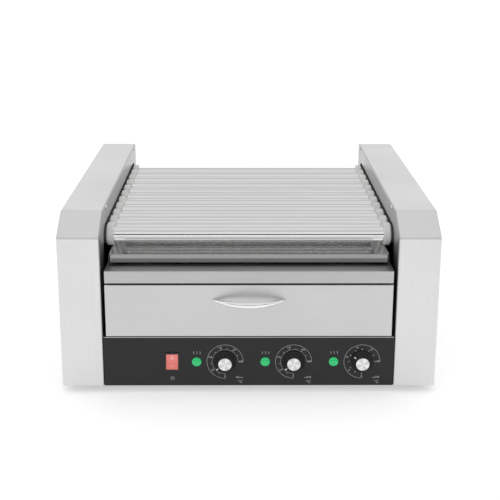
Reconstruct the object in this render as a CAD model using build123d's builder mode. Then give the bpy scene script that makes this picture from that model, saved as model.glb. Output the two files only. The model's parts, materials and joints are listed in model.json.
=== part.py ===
from build123d import *
from math import cos, hypot, radians, sin, sqrt
import os

# A hot dog roller grill. Eleven heated rollers turn in bushes between two bearing plates, driven by
# one chain in the left housing. Below them are a drip tray, a warming drawer and the control panel.
#
# X runs to the right, Y to the back and Z up, in millimetres. The origin is on the table, under the
# middle of the grill with its handle and its cord gland.

# Case
case_width = 580
case_height = 271
foot_height = 12
pillar_width = 65
seam_height = 240
seam_gap = 0.4
facet_run = 48
facet_lip = 2
sheet = 1.2
bend_radius = 2.4
plate_thickness = 1.5
plate_recess = 9.5
slot_margin = 2
slot_height = 100
slot_lead = 34
slot_tail = 30
slot_corner = 21
lip_drop = 19
tab_height = 218
pan_wall = 14
panel_gap = 0.6
foot_hole = 5.4
rear_screw_height = 9
rear_screw_xs = (-190, -60, 60, 190)
plate_foot = 14
plate_lead = 6
plate_facet_gap = 13

# Rollers
roller_count = 11
roller_diameter = 25.4
tube_wall = 1.2
roller_height = 223
first_roller = 79
roller_tail = 60
roller_overhang = 18
cap_gap = 2.1
cap_length = 9
cap_reach = 12
neck_step = 1
spigot_wall = 1.1
bush_clearance = 0.2
rod_diameter = 10
rod_overhang = 43
bracket_stand = 26

# Chain drive
chain_pitch = 9.525
links_between_rollers = 4
sprocket_teeth = 10
tooth_width = 5
sprocket_tip = 0.9
tooth_flank = 3
chain_roller = 6.35
chain_plate_height = 8.2
chain_plate = 1.3
chain_inner_width = 5.8
seat_clearance = 0.3
sprocket_stand = 7
motor_height = 36
shaft_diameter = 8

# Drawer and its housing
panel_height = 80
housing_gap = 5.5
ledge_height = 188.6
ledge_face = 19.2
housing_tail = 70
drawer_side_gap = 5
drawer_top_gap = 2.9
drawer_gap = 1.3
drawer_front_depth = 16
drawer_pan_gap = 19.5
drawer_pan_height = 56
drawer_pan_lift = 14.8
drawer_pan_tail = 20
rail_height = 30
rail_lift = 29
rail_clearance = 0.3
handle_span = 114
handle_reach = 27
handle_bar = 6.5
handle_foot = 10
handle_height = 10
handle_tip = 4
handle_level = 61

# Drip tray
tray_gap = 9
tray_tail = 18
tray_clearance = 0.5
tray_front = 30
tray_lift = 3.9
tray_rim = 3
tray_flare = 14
runner_width = 13
runner_clearance = 0.2

# Control panel
panel_thickness = 1.5
control_height = 40.3
dial_first = -37
dial_spacing = 106.2
lamp_first = -81
lamp_diameter = 14.7
rocker_middle = -119
rocker_width = 18
rocker_length = 24
rocker_tilt = 8
rocker_gap = 0.4
rocker_end_gap = 0.9
cutout_play = 0.1
pin_radius = 1.5
pin_reach = 0.8
pin_clearance = 0.1
bezel_width = 2.2
bezel_height = 1.5
knob_diameter = 36
knob_top = 24
knob_height = 11
knob_cap_diameter = 20.7
stem_diameter = 6
pointer_angles = (-142, -142, 140)

# Back, feet and fasteners
rear_panel_height = 212
gland_reach = 15
gland_diameter = 16
gland_bore = 8
gland_place = 170
gland_height = 34
foot_diameter = 30
foot_inset = 45
screw_diameter = 3
screw_head = 6.5
screw_head_height = 2.2
cover_screw_drop = 4.2

# Sizes that follow from the rollers and the chain
roller_pitch = links_between_rollers * chain_pitch
case_depth = first_roller + (roller_count - 1) * roller_pitch + roller_tail
cap_diameter = roller_pitch - cap_gap
spigot_diameter = roller_diameter + 2 * (bush_clearance + spigot_wall)
neck_diameter = spigot_diameter + 2 * neck_step
slot_rise = cap_diameter / 2 + slot_margin

# Places that follow from the sizes
front = handle_reach - (handle_reach + case_depth + gland_reach) / 2
back = front + case_depth
middle = (front + back) / 2
base = foot_height
top = base + case_height
seam = base + seam_height
outer_wall = case_width / 2
inner_wall = outer_wall - pillar_width
pillar_middle = outer_wall - pillar_width / 2
plate_face = inner_wall + plate_recess
plate_back = plate_face + plate_thickness
roller_z = base + roller_height
roller_ys = [front + first_roller + n * roller_pitch for n in range(roller_count)]
tube_end = inner_wall + roller_overhang
slot_front = roller_ys[0] - slot_lead
slot_back = roller_ys[-1] + slot_tail
housing_floor = base + panel_height
housing_side = inner_wall - housing_gap
housing_end = back - housing_tail
ledge = base + ledge_height
dial_xs = [dial_first + n * dial_spacing for n in range(3)]
lamp_xs = [lamp_first + n * dial_spacing for n in range(3)]
control_z = base + control_height
rod_end = inner_wall + rod_overhang
bracket_x = plate_back + bracket_stand
sides = ((-1, "left"), (1, "right"))

# The drive: the motor sprocket hangs under the middle roller, a whole number of links from both ends
pitch_radius = chain_pitch / (2 * sin(radians(180 / sprocket_teeth)))
half_span = (roller_ys[-1] - roller_ys[0]) / 2
strand_links = round(hypot(half_span, roller_height - motor_height) / chain_pitch)
motor_drop = sqrt((strand_links * chain_pitch) ** 2 - half_span**2)
motor_y = roller_ys[0] + half_span
motor_z = roller_z - motor_drop
tooth_plane = -(tube_end + sprocket_stand)
tooth_angle = 360 / sprocket_teeth
seat_radius = chain_roller / 2 + seat_clearance


def level(z):
    """A plane parallel to the table: sketches are in X and Y, extruded upwards."""
    return Plane.XY.offset(z)


def across(x):
    """A plane square to the rollers: sketches are in Y and Z, extruded to the right."""
    return Plane.YZ.offset(x)


def upright(y):
    """A plane parallel to the front: sketches are in X and Z, extruded towards the front."""
    return Plane.XZ.offset(-y)


def block(x, y, z, mode=Mode.ADD):
    """A box between two places along each axis."""
    with Locations(((x[0] + x[1]) / 2, (y[0] + y[1]) / 2, (z[0] + z[1]) / 2)):
        Box(abs(x[1] - x[0]), abs(y[1] - y[0]), abs(z[1] - z[0]), mode=mode)


def keep(piece, name):
    """Labels a finished piece and writes its file."""
    piece.part.label = name
    export_step(piece.part, f"parts/{name}.step")


def tooth_sketch(y, z, turn):
    """The outline of a toothed plate about an axis, turned by an angle."""
    with Locations((y, z)):
        Circle(pitch_radius + sprocket_tip)
        with PolarLocations(pitch_radius, sprocket_teeth, start_angle=turn):
            Circle(seat_radius, mode=Mode.SUBTRACT)
            Polygon(
                (0, -seat_radius),
                (0.8 * tooth_flank, -seat_radius - tooth_flank),
                (0.8 * tooth_flank, seat_radius + tooth_flank),
                (0, seat_radius),
                align=None,
                mode=Mode.SUBTRACT,
            )


os.makedirs("parts", exist_ok=True)


# Base pan: a floor with low walls, vented under the motor and drilled for the feet
foot_places = [
    (side * (outer_wall - foot_inset), y)
    for side in (-1, 1)
    for y in (front + foot_inset + 10, back - foot_inset - 10)
]
floor_half = outer_wall - sheet
floor_front = front + bend_radius + 0.3
panel_half = inner_wall - panel_gap
rear_screws = [(x, base + rear_screw_height) for x in rear_screw_xs]
with BuildPart() as base_pan:
    with BuildSketch(level(base)):
        with Locations((0, (floor_front + back - sheet) / 2)):
            RectangleRounded(2 * floor_half, back - sheet - floor_front, bend_radius)
        with Locations(foot_places):
            Circle(foot_hole / 2, mode=Mode.SUBTRACT)
        for vent_x in (-120, 60):
            with Locations((vent_x, middle)):
                with GridLocations(14, 0, 8, 1):
                    SlotOverall(60, 5, rotation=90, mode=Mode.SUBTRACT)
    extrude(amount=sheet)
    block((-panel_half, panel_half), (front + panel_thickness, floor_front + 1), (base, base + sheet))
    block(
        (-panel_half, panel_half),
        (front + panel_thickness, front + panel_thickness + sheet),
        (base, base + pan_wall),
    )
    block((-panel_half, panel_half), (back - 2 * sheet, back - sheet), (base, base + pan_wall))
    for side, hand in sides:
        block(
            (side * floor_half, side * (floor_half - sheet)),
            (floor_front + 2 * bend_radius, back - sheet - 2 * bend_radius),
            (base, base + pan_wall),
        )
    with BuildSketch(upright(back)):
        with Locations(rear_screws):
            Circle(screw_diameter / 2 + 0.1)
    extrude(amount=3 * sheet, mode=Mode.SUBTRACT)
keep(base_pan, "base_pan")


# Side covers: folded boxes, open towards the rollers between a front and a back return
for side, hand in sides:
    with BuildPart() as side_cover:
        with BuildSketch(level(base)):
            with Locations((side * pillar_middle, middle)):
                RectangleRounded(pillar_width, case_depth, bend_radius)
                RectangleRounded(
                    pillar_width - 2 * sheet,
                    case_depth - 2 * sheet,
                    bend_radius - sheet,
                    mode=Mode.SUBTRACT,
                )
        extrude(amount=seam_height - seam_gap / 2)
        wall = (side * (inner_wall - 1), side * (inner_wall + sheet))
        block(wall, (slot_front, slot_back), (base - 1, seam), Mode.SUBTRACT)
        ends = (front + bend_radius, back - bend_radius)
        block(wall, ends, (base + tab_height - seam_gap, seam), Mode.SUBTRACT)
        # The pan's floor passes under the returns
        block(
            (side * (inner_wall - 1), side * (inner_wall + bend_radius)),
            (front + bend_radius, back - sheet),
            (base - 1, base + sheet + 0.3),
            Mode.SUBTRACT,
        )
    keep(side_cover, f"{hand}_side_cover")


# Top covers: the facet, the top and the inner flange, which has the long slot for the rollers
screw_places = (roller_ys[0], back - 27)
screw_z = top - cover_screw_drop
for side, hand in sides:
    with BuildPart() as top_cover:
        with BuildSketch(across(side * inner_wall)):
            with BuildLine():
                Polyline(
                    (front, seam + seam_gap / 2),
                    (front, seam + facet_lip),
                    (front + facet_run, top),
                    (back, top),
                    (back, seam + seam_gap / 2),
                    close=True,
                )
            make_face()
            fillet(vertices().group_by(Axis.Y)[1:], radius=bend_radius / 2 + sheet)
        extrude(amount=side * pillar_width)
        long_edges = [
            edge
            for edge in edges().filter_by(GeomType.LINE)
            if abs(edge.tangent_at(0).X) < 0.01 and edge.center().Z > seam + 1
        ]
        fillet(long_edges, radius=bend_radius)
        offset(amount=-sheet, openings=faces().sort_by(Axis.Z)[0])
        block(
            (side * inner_wall, side * (inner_wall + sheet)),
            (front + bend_radius + 0.2, back - bend_radius - 0.2),
            (base + tab_height, seam + 2 * bend_radius),
        )
        with BuildSketch(across(side * (inner_wall - 1))):
            with Locations(((slot_front + slot_back) / 2, roller_z + slot_rise - slot_height / 2)):
                Rectangle(slot_back - slot_front, slot_height)
            fillet(vertices().group_by(Axis.Y)[-1], radius=slot_corner)
        extrude(amount=side * (sheet + 2), mode=Mode.SUBTRACT)
        with BuildSketch(across(side * (inner_wall - 1))):
            with Locations([(y, screw_z) for y in screw_places]):
                Circle(screw_diameter / 2 + 0.2)
        extrude(amount=side * (sheet + 2), mode=Mode.SUBTRACT)
    keep(top_cover, f"{hand}_top_cover")


# Bearing plates: they stand on the pan, carry the bushes and hold the top covers' screws
lip_bottom = top - lip_drop
facet_rise = top - seam - facet_lip
lip_start = front + facet_run * (lip_bottom + plate_thickness - seam - facet_lip) / facet_rise
for side, hand in sides:
    with BuildPart() as bearing_plate:
        with BuildSketch(across(side * plate_face)):
            with BuildLine():
                Polyline(
                    (front + plate_lead, base + sheet),
                    (front + plate_lead, seam),
                    (lip_start + plate_facet_gap, lip_bottom + plate_thickness),
                    (back - plate_lead, lip_bottom + plate_thickness),
                    (back - plate_lead, base + sheet),
                    close=True,
                )
            make_face()
            with Locations([(y, roller_z) for y in roller_ys]):
                Circle(spigot_diameter / 2 + 0.1, mode=Mode.SUBTRACT)
            if side < 0:
                with Locations((motor_y, motor_z)):
                    Circle(shaft_diameter, mode=Mode.SUBTRACT)
        extrude(amount=side * plate_thickness)
        block(
            (side * plate_face, side * (plate_face - plate_foot)),
            (slot_front + 6, slot_back - 6),
            (base + sheet, base + sheet + plate_thickness),
        )
        lip_ends = (front + facet_run + 12, back - 12)
        lip_face = inner_wall + sheet
        block(
            (side * (plate_face + 0.5), side * lip_face),
            lip_ends,
            (lip_bottom, lip_bottom + plate_thickness),
        )
        block(
            (side * lip_face, side * (lip_face + plate_thickness)),
            lip_ends,
            (lip_bottom, top - bend_radius - 0.3),
        )
        with BuildSketch(across(side * (lip_face - 1))):
            with Locations([(y, screw_z) for y in screw_places]):
                Circle(screw_diameter / 2 + 0.1)
        extrude(amount=side * (plate_thickness + 2), mode=Mode.SUBTRACT)
    keep(bearing_plate, f"{hand}_bearing_plate")


# Roller bushes: a white cap in the slot, a neck and a spigot through the bearing plate
cap_face = inner_wall - cap_reach
with BuildPart() as roller_bushes:
    for side, hand in sides:
        for start, length, diameter in (
            (cap_face, cap_length, cap_diameter),
            (cap_face + cap_length, plate_face - cap_face - cap_length, neck_diameter),
            (plate_face, plate_thickness + 2, spigot_diameter),
        ):
            with BuildSketch(across(side * start)):
                with Locations([(y, roller_z) for y in roller_ys]):
                    Circle(diameter / 2)
                    Circle(roller_diameter / 2 + bush_clearance, mode=Mode.SUBTRACT)
            extrude(amount=side * length)
keep(roller_bushes, "roller_bushes")


# Rollers: plain polished tubes
for number, y in enumerate(roller_ys, start=1):
    with BuildPart() as roller:
        with BuildSketch(across(-tube_end)):
            with Locations((y, roller_z)):
                Circle(roller_diameter / 2)
                Circle(roller_diameter / 2 - tube_wall, mode=Mode.SUBTRACT)
        extrude(amount=2 * tube_end)
        chamfer(edges().filter_by(GeomType.CIRCLE).group_by(SortBy.RADIUS)[-1], length=0.3)
    keep(roller, f"roller_{number:02d}")

# Roller sprockets: a spigot in the tube, a shoulder on its end and the teeth
shoulder = 1.5
plug_length = 12
plug_play = 0.05
hub_gap = 1.3
rod_room = 1.25
hub_radius = pitch_radius - chain_plate_height / 2 - hub_gap
bore_radius = rod_diameter / 2 + rod_room
for number, y in enumerate(roller_ys, start=1):
    with BuildPart() as roller_sprocket:
        for start, length, radius in (
            (-tube_end, plug_length, roller_diameter / 2 - tube_wall - plug_play),
            (-tube_end - shoulder, shoulder, roller_diameter / 2),
            (tooth_plane, sprocket_stand - shoulder, hub_radius),
        ):
            with BuildSketch(across(start)):
                with Locations((y, roller_z)):
                    Circle(radius)
            extrude(amount=length)
        with BuildSketch(across(tooth_plane - tooth_width / 2)):
            tooth_sketch(y, roller_z, 90)
        extrude(amount=tooth_width)
        with BuildSketch(across(tooth_plane - tooth_width)):
            with Locations((y, roller_z)):
                Circle(bore_radius)
        extrude(amount=sprocket_stand + plug_length + 2 * tooth_width, mode=Mode.SUBTRACT)
    keep(roller_sprocket, f"roller_sprocket_{number:02d}")

# Motor sprocket: the same teeth on the output shaft, whose output gear turns inside the gearbox
gearbox = (70, 56, 26)
gearbox_wall = 5
gear_side = 9
gear_width = 6
gear_teeth = 24
gear_notch = 1.2
gear_clearance = 0.8
shaft_tail = 5
shaft_play = 0.25
gear_start = -plate_face + gearbox_wall
gear_radius = gearbox[1] / 2 - gear_side
shaft_end = gear_start + gear_width + shaft_tail
with BuildPart() as drive_sprocket:
    with BuildSketch(across(tooth_plane - tooth_width / 2)):
        tooth_sketch(motor_y, motor_z, 90)
    extrude(amount=tooth_width)
    with BuildSketch(across(tooth_plane - tooth_width)):
        with Locations((motor_y, motor_z)):
            Circle(shaft_diameter / 2)
    extrude(amount=shaft_end - tooth_plane + tooth_width)
    with BuildSketch(across(tooth_plane)):
        with Locations((motor_y, motor_z)):
            Circle(hub_radius - 2)
    extrude(amount=sprocket_stand - 1)
    with BuildSketch(across(gear_start)):
        with Locations((motor_y, motor_z)):
            Circle(gear_radius)
            with PolarLocations(gear_radius, gear_teeth):
                Circle(gear_notch, mode=Mode.SUBTRACT)
    extrude(amount=gear_width)
keep(drive_sprocket, "drive_sprocket")


# Drive chain: over the tops of all the roller sprockets, down to the motor sprocket and back
def seat(y, z, angle):
    return (y + pitch_radius * cos(radians(angle)), z + pitch_radius * sin(radians(angle)))


chain_corners = [seat(roller_ys[0], roller_z, 90 + n * tooth_angle) for n in range(5)]
chain_corners += [seat(motor_y, motor_z, 234 + n * tooth_angle) for n in range(3)]
chain_corners += [seat(roller_ys[-1], roller_z, -54 + n * tooth_angle) for n in range(5)]
chain_pins = []
for start, end in zip(chain_corners, chain_corners[1:] + chain_corners[:1]):
    run = hypot(end[0] - start[0], end[1] - start[1])
    links = round(run / chain_pitch)
    chain_pins += [
        (start[0] + (end[0] - start[0]) * n / links, start[1] + (end[1] - start[1]) * n / links)
        for n in range(links)
    ]
with BuildPart() as drive_chain:
    for band_x in (-chain_inner_width / 2 - chain_plate, chain_inner_width / 2):
        with BuildSketch(across(tooth_plane + band_x)):
            with BuildLine():
                Polyline(*chain_corners, close=True)
            make_face()
            offset(amount=chain_plate_height / 2)
            with BuildLine() as pin_line:
                Polyline(*chain_corners, close=True)
            inner = make_face(pin_line.edges(), mode=Mode.PRIVATE)
            offset(inner, amount=-chain_plate_height / 2, mode=Mode.SUBTRACT)
        extrude(amount=chain_plate)
    with BuildSketch(across(tooth_plane - chain_inner_width / 2)):
        with Locations(chain_pins):
            Circle(chain_roller / 2)
    extrude(amount=chain_inner_width)
keep(drive_chain, "drive_chain")


# Gear motor: a gearbox on the bearing plate with the motor can behind it
can_diameter = 54
can_length = 52
with BuildPart() as gear_motor:
    block(
        (-plate_face, -plate_face + gearbox[2]),
        (motor_y - gearbox[0] / 2, motor_y + gearbox[0] / 2),
        (motor_z - gearbox[1] / 2, motor_z + gearbox[1] / 2),
    )
    fillet(edges().filter_by(Axis.X), radius=4)
    with BuildSketch(across(-plate_face + gearbox[2])):
        with Locations((motor_y, motor_z)):
            Circle(can_diameter / 2)
    extrude(amount=can_length)
    fillet(faces().sort_by(Axis.X)[-1].edges(), radius=4)
    with BuildSketch(across(-plate_face)):
        with Locations((motor_y, motor_z)):
            Circle(shaft_diameter / 2 + shaft_play)
    extrude(amount=shaft_end + plate_face + gear_clearance, mode=Mode.SUBTRACT)
    with BuildSketch(across(gear_start - gear_clearance)):
        with Locations((motor_y, motor_z)):
            Circle(gear_radius + gear_clearance)
    extrude(amount=gear_width + 2 * gear_clearance, mode=Mode.SUBTRACT)
keep(gear_motor, "gear_motor")


# Heating elements: a rod through every roller, held clear of it at both ends
with BuildPart() as heating_elements:
    with BuildSketch(across(-rod_end)):
        with Locations([(y, roller_z) for y in roller_ys]):
            Circle(rod_diameter / 2)
    extrude(amount=2 * rod_end)
keep(heating_elements, "heating_elements")

post_diameter = 8
post_ys = (slot_front + 5, slot_back)
with BuildPart() as heater_brackets:
    for side, hand in sides:
        with BuildSketch(across(side * bracket_x)):
            with Locations((sum(post_ys) / 2, roller_z)):
                RectangleRounded(post_ys[1] - post_ys[0] + 2 * post_diameter, 24, 3)
            with Locations([(y, roller_z) for y in roller_ys]):
                Circle(rod_diameter / 2 + 0.1, mode=Mode.SUBTRACT)
        extrude(amount=side * 2)
        with BuildSketch(across(side * plate_back)):
            with Locations([(y, roller_z) for y in post_ys]):
                Circle(post_diameter / 2)
        extrude(amount=side * bracket_stand)
keep(heater_brackets, "heater_brackets")


# Drawer housing: roof with the ledge, sides, floor and back
housing_front = front + drawer_front_depth + 4
element_z = housing_floor + 8
element_lead = 120
element_tail = 90
element_pitch = (housing_end - element_tail - front - element_lead) / 3
element_ys = [front + element_lead + element_pitch * n for n in range(4)]
element_diameter = 8
with BuildPart() as drawer_housing:
    block((-housing_side, housing_side), (front, housing_end), (ledge - sheet, ledge))
    block((-housing_side, housing_side), (front, front + sheet), (ledge - ledge_face, ledge))
    fillet(
        edges().filter_by(Axis.X).group_by(Axis.Y)[0].sort_by(Axis.Z)[-1],
        radius=1,
    )
    for side, hand in sides:
        block(
            (side * housing_side, side * (housing_side - sheet)),
            (housing_front, housing_end),
            (housing_floor, ledge - sheet / 2),
        )
    block(
        (-housing_side, housing_side),
        (housing_end - sheet, housing_end),
        (housing_floor, ledge - sheet / 2),
    )
    block(
        (-inner_wall + 1, inner_wall - 1),
        (front + 0.5, housing_end),
        (housing_floor, housing_floor + sheet),
    )
    block(
        (-plate_face, plate_face),
        (slot_front + 6, housing_end),
        (housing_floor, housing_floor + sheet),
    )
    with BuildSketch(across(housing_side - 2 * sheet)):
        with Locations([(y, element_z) for y in (element_ys[0], element_ys[-1])]):
            Circle(element_diameter / 2 + 0.6)
    extrude(amount=3 * sheet, mode=Mode.SUBTRACT)
keep(drawer_housing, "drawer_housing")


# Warming element: a rod that goes to and fro under the drawer
element_turn = housing_side - 35
with BuildPart() as warming_element:
    with BuildLine() as element_line:
        FilletPolyline(
            (housing_side + 8, element_ys[0], element_z),
            (-element_turn, element_ys[0], element_z),
            (-element_turn, element_ys[1], element_z),
            (element_turn, element_ys[1], element_z),
            (element_turn, element_ys[2], element_z),
            (-element_turn, element_ys[2], element_z),
            (-element_turn, element_ys[3], element_z),
            (housing_side + 8, element_ys[3], element_z),
            radius=0.375 * element_pitch,
        )
    with BuildSketch(Plane(origin=element_line.line @ 0, z_dir=element_line.line % 0)):
        Circle(element_diameter / 2)
    sweep()
keep(warming_element, "warming_element")


# Drawer: folded front, pan, rails and the bow handle
drawer_side = inner_wall - drawer_side_gap
drawer_bottom = housing_floor + sheet + drawer_gap
drawer_top = ledge - ledge_face - drawer_top_gap
handle_z = drawer_bottom + handle_level - 1
with BuildPart() as drawer_front:
    block((-drawer_side, drawer_side), (front, front + drawer_front_depth), (drawer_bottom, drawer_top))
    fillet(edges().filter_by_position(Axis.Y, front - 0.1, front + 0.1), radius=1)
    block(
        (-drawer_side + sheet, drawer_side - sheet),
        (front + sheet, front + drawer_front_depth + 1),
        (drawer_bottom + sheet, drawer_top - sheet),
        Mode.SUBTRACT,
    )
keep(drawer_front, "drawer_front")

pan_half = inner_wall - drawer_pan_gap
pan_bottom = drawer_bottom + drawer_pan_lift - 1
pan_front = front + drawer_front_depth
pan_end = housing_end - drawer_pan_tail
with BuildPart() as drawer_pan:
    block(
        (-pan_half, pan_half),
        (pan_front, pan_end),
        (pan_bottom, pan_bottom + drawer_pan_height),
    )
    fillet(edges().filter_by(Axis.Z).group_by(Axis.Y)[-1], radius=8)
    offset(amount=-1, openings=faces().sort_by(Axis.Z)[-1])
    block(
        (-drawer_side + 0.2, drawer_side - 0.2),
        (pan_front, pan_front + 1),
        (drawer_bottom + 0.2, drawer_top - 0.2),
    )
keep(drawer_pan, "drawer_pan")

rail_lip = 9
inner_rail_tail = 16
rail_bottom = drawer_bottom + rail_lift
rail_top = rail_bottom + rail_height
rail_wall = housing_side - sheet
rail_ends = (housing_front + 2, housing_end - 8)
with BuildPart() as drawer_outer_rails:
    for side, hand in sides:
        block((side * rail_wall, side * (rail_wall - sheet)), rail_ends, (rail_bottom, rail_top))
        for lip in (rail_bottom, rail_top - sheet):
            block((side * rail_wall, side * (rail_wall - rail_lip)), rail_ends, (lip, lip + sheet))
keep(drawer_outer_rails, "drawer_outer_rails")

inner_rail = rail_wall - sheet - rail_clearance
with BuildPart() as drawer_inner_rails:
    for side, hand in sides:
        for z in (
            (rail_bottom + sheet + rail_clearance, rail_bottom + 2 * sheet + rail_clearance),
            (rail_top - 2 * sheet - rail_clearance, rail_top - sheet - rail_clearance),
        ):
            block(
                (side * pan_half, side * inner_rail),
                (pan_front + 1, pan_end - inner_rail_tail),
                z,
            )
        block(
            (side * pan_half, side * (pan_half + sheet)),
            (pan_front + 1, pan_end - inner_rail_tail),
            (rail_bottom + sheet + rail_clearance, rail_top - sheet - rail_clearance),
        )
keep(drawer_inner_rails, "drawer_inner_rails")

half_span_x = handle_span / 2
with BuildPart() as drawer_handle:
    with BuildSketch(level(handle_z - handle_height)):
        with BuildLine():
            ThreePointArc(
                (-half_span_x, front), (0, front - handle_reach), (half_span_x, front)
            )
            Line((half_span_x, front), (half_span_x - handle_foot, front))
            ThreePointArc(
                (half_span_x - handle_foot, front),
                (0, front - handle_reach + handle_bar),
                (handle_foot - half_span_x, front),
            )
            Line((handle_foot - half_span_x, front), (-half_span_x, front))
        make_face()
    extrude(amount=2 * handle_height)
    with BuildSketch(upright(front)):
        with BuildLine():
            ThreePointArc(
                (-half_span_x, handle_z + handle_tip / 2),
                (0, handle_z + handle_height / 2),
                (half_span_x, handle_z + handle_tip / 2),
            )
            Line((half_span_x, handle_z + handle_tip / 2), (half_span_x, handle_z - handle_tip / 2))
            ThreePointArc(
                (half_span_x, handle_z - handle_tip / 2),
                (0, handle_z - handle_height / 2),
                (-half_span_x, handle_z - handle_tip / 2),
            )
            Line((-half_span_x, handle_z - handle_tip / 2), (-half_span_x, handle_z + handle_tip / 2))
        make_face()
    extrude(amount=handle_reach + 5, mode=Mode.INTERSECT)
    bow_edges = [edge for edge in edges() if edge.length > handle_span * 0.6 and edge.center().Y < front - 2]
    fillet(bow_edges, radius=1.6)
keep(drawer_handle, "drawer_handle")


# Drip tray: a flat rim, an outer skirt and walls that slope down to the floor
tray_bottom = ledge + tray_lift
tray_top = roller_z - cap_diameter / 2 - tray_clearance
tray_height = tray_top - tray_bottom
tray_width = 2 * (inner_wall - tray_gap)
tray_length = roller_ys[-1] + tray_tail - front - tray_front
tray_middle = front + tray_front + tray_length / 2
tray_sheet = 0.8
tray_corner = 3
with BuildPart() as drip_tray:
    with BuildSketch(level(tray_bottom)):
        with Locations((0, tray_middle)):
            RectangleRounded(tray_width, tray_length, tray_corner)
            RectangleRounded(
                tray_width - 2 * tray_sheet,
                tray_length - 2 * tray_sheet,
                tray_corner - tray_sheet,
                mode=Mode.SUBTRACT,
            )
    extrude(amount=tray_height)
    with BuildSketch(level(tray_top - tray_sheet)):
        with Locations((0, tray_middle)):
            RectangleRounded(tray_width, tray_length, tray_corner)
    extrude(amount=tray_sheet)
    for grow, depth, mode in (
        (tray_sheet, tray_height - tray_sheet, Mode.ADD),
        (0, tray_height - 2 * tray_sheet, Mode.SUBTRACT),
    ):
        for z, narrowing in ((tray_top, 0), (tray_top - depth, 2 * tray_flare)):
            across_inside = tray_width - 2 * tray_rim + 2 * grow - narrowing
            along_inside = tray_length - 2 * tray_rim + 2 * grow - narrowing
            with BuildSketch(level(z)):
                with Locations((0, tray_middle)):
                    RectangleRounded(across_inside, along_inside, 2 * tray_corner)
        loft(mode=mode)
keep(drip_tray, "drip_tray")

# Tray runners: strips on the ledge under both sides of the tray, with a guide beside it
runner_in = tray_width / 2 + 1 + sheet - runner_width
runner_top = tray_bottom - runner_clearance
with BuildPart() as tray_runners:
    for side, hand in sides:
        runner_y = (front + tray_front + 12, housing_end)
        block((side * runner_in, side * (runner_in + runner_width)), runner_y, (ledge, runner_top))
        block(
            (side * (runner_in + runner_width - sheet), side * (runner_in + runner_width)),
            runner_y,
            (ledge, tray_bottom + 6),
        )
keep(tray_runners, "tray_runners")


# Control panel: black face with a folded top, cut for the switch, the lamps and the dials
lamp_hole = 10
with BuildPart() as control_panel:
    block(
        (-panel_half, panel_half),
        (front, front + panel_thickness),
        (base + 0.2, housing_floor),
    )
    block(
        (-panel_half, panel_half),
        (front, front + 14),
        (housing_floor - panel_thickness, housing_floor),
    )
    with BuildSketch(upright(front + panel_thickness + 1)):
        with Locations([(x, control_z) for x in dial_xs]):
            Circle(5)
        with Locations([(x, control_z) for x in lamp_xs]):
            Circle(lamp_hole / 2)
        with Locations((rocker_middle, control_z)):
            Rectangle(
                rocker_width + 2 * rocker_gap + bezel_width + cutout_play,
                rocker_length + 2 * rocker_end_gap + bezel_width + cutout_play,
            )
    extrude(amount=panel_thickness + 2, mode=Mode.SUBTRACT)
keep(control_panel, "control_panel")


# Rocker switch: a bezel on the panel, a body behind it and the rocker on its two pivot pins
pivot_y = front + 1.5
rocker_back = 7
body_depth = 24
with BuildPart() as switch_body:
    with BuildSketch(upright(front)):
        with Locations((rocker_middle, control_z)):
            RectangleRounded(
                rocker_width + 2 * rocker_gap + 2 * bezel_width,
                rocker_length + 2 * rocker_end_gap + 2 * bezel_width,
                1.5,
            )
    extrude(amount=bezel_height)
    with BuildSketch(upright(front + body_depth)):
        with Locations((rocker_middle, control_z)):
            Rectangle(
                rocker_width + 2 * rocker_gap + bezel_width,
                rocker_length + 2 * rocker_end_gap + bezel_width,
            )
    extrude(amount=body_depth)
    with BuildSketch(upright(pivot_y + rocker_back + 5)):
        with Locations((rocker_middle, control_z)):
            Rectangle(rocker_width + 2 * rocker_gap, rocker_length + 2 * rocker_end_gap)
    extrude(amount=rocker_back + 20, mode=Mode.SUBTRACT)
    for blade_x in (-5, 5):
        for blade_z in (-7, 7):
            block(
                (rocker_middle + blade_x - 0.4, rocker_middle + blade_x + 0.4),
                (front + body_depth, front + body_depth + 9),
                (control_z + blade_z - 2.4, control_z + blade_z + 2.4),
            )
    pin_hole = rocker_width / 2 + rocker_gap + pin_reach + pin_clearance
    with BuildSketch(across(rocker_middle - pin_hole)):
        with Locations((pivot_y, control_z)):
            Circle(pin_radius + pin_clearance)
    extrude(amount=2 * pin_hole, mode=Mode.SUBTRACT)
keep(switch_body, "switch_body")

tilt = radians(rocker_tilt)
rocker_plane = Plane(
    origin=(rocker_middle - rocker_width / 2, pivot_y, control_z),
    x_dir=(0, cos(tilt), -sin(tilt)),
    z_dir=(1, 0, 0),
)
half_rocker = rocker_length / 2
with BuildPart() as rocker:
    with BuildSketch(rocker_plane):
        with BuildLine():
            Polyline(
                (-4.4, half_rocker),
                (-2.2, 0),
                (-4.4, -half_rocker),
                (0, -half_rocker),
                (rocker_back, -half_rocker + 5),
                (rocker_back, half_rocker - 5),
                (0, half_rocker),
                close=True,
            )
        make_face()
    extrude(amount=rocker_width)
    fillet(edges().filter_by(Axis.X).group_by(Axis.Y)[0], radius=0.8)
    pin_end = rocker_width / 2 + rocker_gap + pin_reach
    with BuildSketch(across(rocker_middle - pin_end)):
        with Locations((pivot_y, control_z)):
            Circle(pin_radius)
    extrude(amount=2 * pin_end)
keep(rocker, "rocker")


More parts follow.
